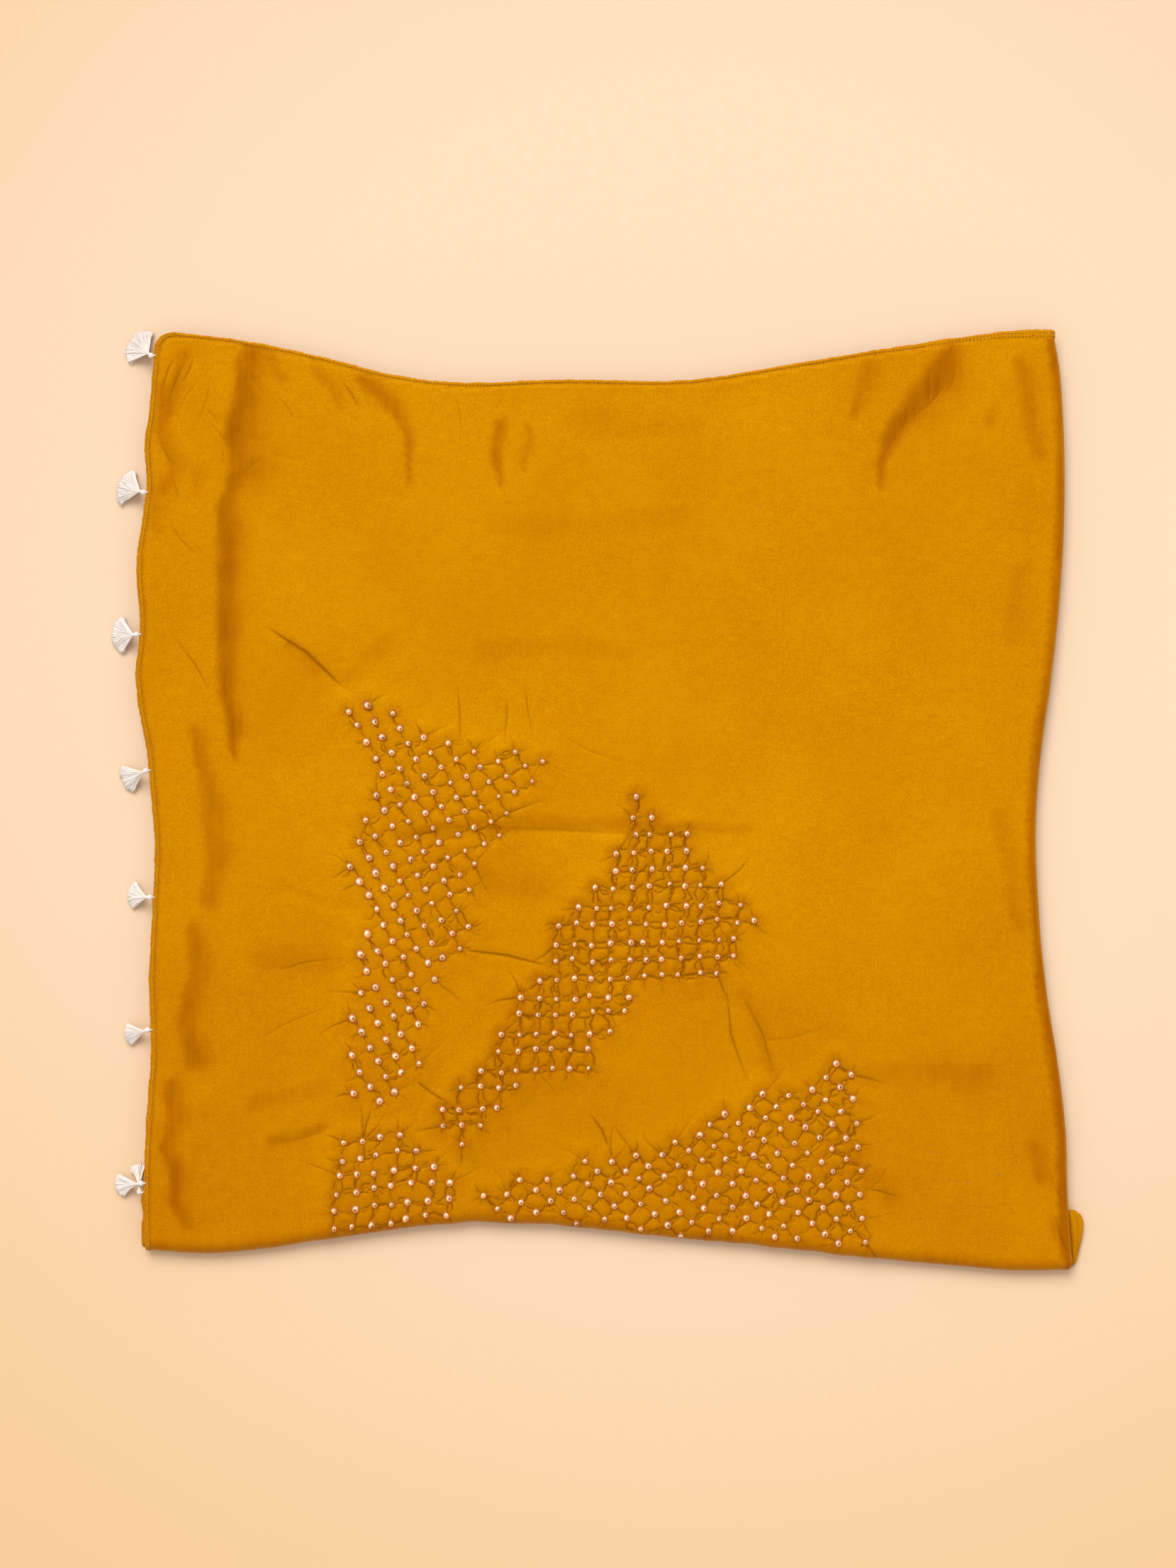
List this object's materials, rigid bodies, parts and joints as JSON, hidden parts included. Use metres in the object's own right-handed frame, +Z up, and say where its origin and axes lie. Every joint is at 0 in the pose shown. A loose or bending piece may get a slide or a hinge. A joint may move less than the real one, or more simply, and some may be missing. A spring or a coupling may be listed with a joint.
{
  "type": "folded dupatta stole",
  "caption": "Long silk dupatta stole with tied resist dots and cotton tassels, folded to a square and laid flat.",
  "frame": {"origin": "middle of the footprint, on the plane that the folded cloth rests on", "axes": "+Z up from the resting face; +X towards the fold of the length, away from the tasselled end hem; +Y towards the hemmed long side, away from the fold of the width"},
  "size_m": [0.6053, 0.5845, 0.0147],
  "materials": {
    "silk": "satin",
    "hem": "satin",
    "cotton": "matte"
  },
  "bodies": {
    "root": {"top_panel": "silk", "under_layers": "silk", "corner_flap": "silk", "end_hem": "hem", "side_hem": "hem", "under_hem": "hem", "tassel_1": "cotton", "tassel_2": "cotton", "tassel_3": "cotton", "tassel_4": "cotton", "tassel_5": "cotton", "tassel_6": "cotton", "tassel_7": "cotton", "tassel_8": "cotton"}
  },
  "joints": []
}
